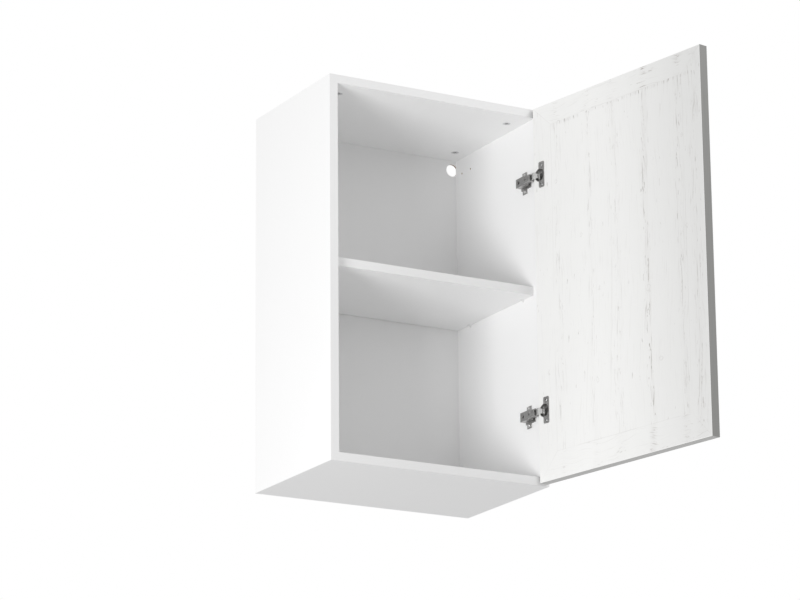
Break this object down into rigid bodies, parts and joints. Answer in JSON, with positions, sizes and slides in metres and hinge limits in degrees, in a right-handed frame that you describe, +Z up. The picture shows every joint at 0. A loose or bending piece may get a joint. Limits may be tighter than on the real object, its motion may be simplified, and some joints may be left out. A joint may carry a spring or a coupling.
{
  "type": "wall cabinet",
  "caption": "White wall cabinet with one shelf and a single pine-look door standing open to the right on two concealed cup hinges.",
  "frame": {"origin": "middle of the wall face, the rear plane of the cabinet", "axes": "+X to the right seen from the front, +Y into the wall so that the front faces -Y, +Z up"},
  "size_m": [0.5226, 0.7393, 0.72],
  "materials": {
    "melamine": "matte",
    "edge_band": "matte",
    "hardboard": "matte",
    "pine_decor": "matte",
    "door_edge": "matte",
    "nickel_plate": "satin",
    "bright_steel": "polished",
    "steel_screw": "satin",
    "zinc_cam": "satin",
    "beech": "matte",
    "white_plastic": "satin"
  },
  "bodies": {
    "cabinet": {"side_panel_left": "melamine", "side_panel_right": "melamine", "top_panel": "melamine", "bottom_panel": "melamine", "shelf": "melamine", "back_panel": "hardboard", "side_band_left": "edge_band", "side_band_right": "edge_band", "top_band": "edge_band", "bottom_band": "edge_band", "shelf_band": "edge_band", "back_nails": "steel_screw", "cam_locks_top": "zinc_cam", "cam_locks_bottom": "zinc_cam", "cam_bolts_left": "steel_screw", "cam_bolts_right": "steel_screw", "dowels_left": "beech", "dowels_right": "beech", "shelf_supports": "white_plastic", "upper_mounting_plate": "nickel_plate", "upper_plate_screws": "steel_screw", "upper_hinge_arm": "nickel_plate", "upper_arm_screws": "steel_screw", "upper_arm_pin": "steel_screw", "lower_mounting_plate": "nickel_plate", "lower_plate_screws": "steel_screw", "lower_hinge_arm": "nickel_plate", "lower_arm_screws": "steel_screw", "lower_arm_pin": "steel_screw"},
    "links": {"upper_hinge_link": "bright_steel", "lower_hinge_link": "bright_steel"},
    "door": {"door_panel": "pine_decor", "door_bands_long": "door_edge", "door_bands_short": "door_edge", "upper_hinge_cup": "nickel_plate", "upper_cup_pin": "steel_screw", "upper_cup_screws": "steel_screw", "lower_hinge_cup": "nickel_plate", "lower_cup_pin": "steel_screw", "lower_cup_screws": "steel_screw"}
  },
  "joints": [
    {"name": "link_swing", "type": "hinge", "parent": "cabinet", "child": "links", "pos_m": [0.203, -0.292, 0.001], "axis": [0, 0, 1], "range_deg": [-1.3, 25.1]},
    {"name": "door_swing", "type": "hinge", "parent": "links", "child": "door", "pos_m": [0.20923, -0.30704, 0.001], "axis": [0, 0, 1], "range_deg": [-125, 6.25]}
  ],
  "couplings": [
    {"joint": "link_swing", "follows": "door_swing", "ratio": -0.2}
  ]
}
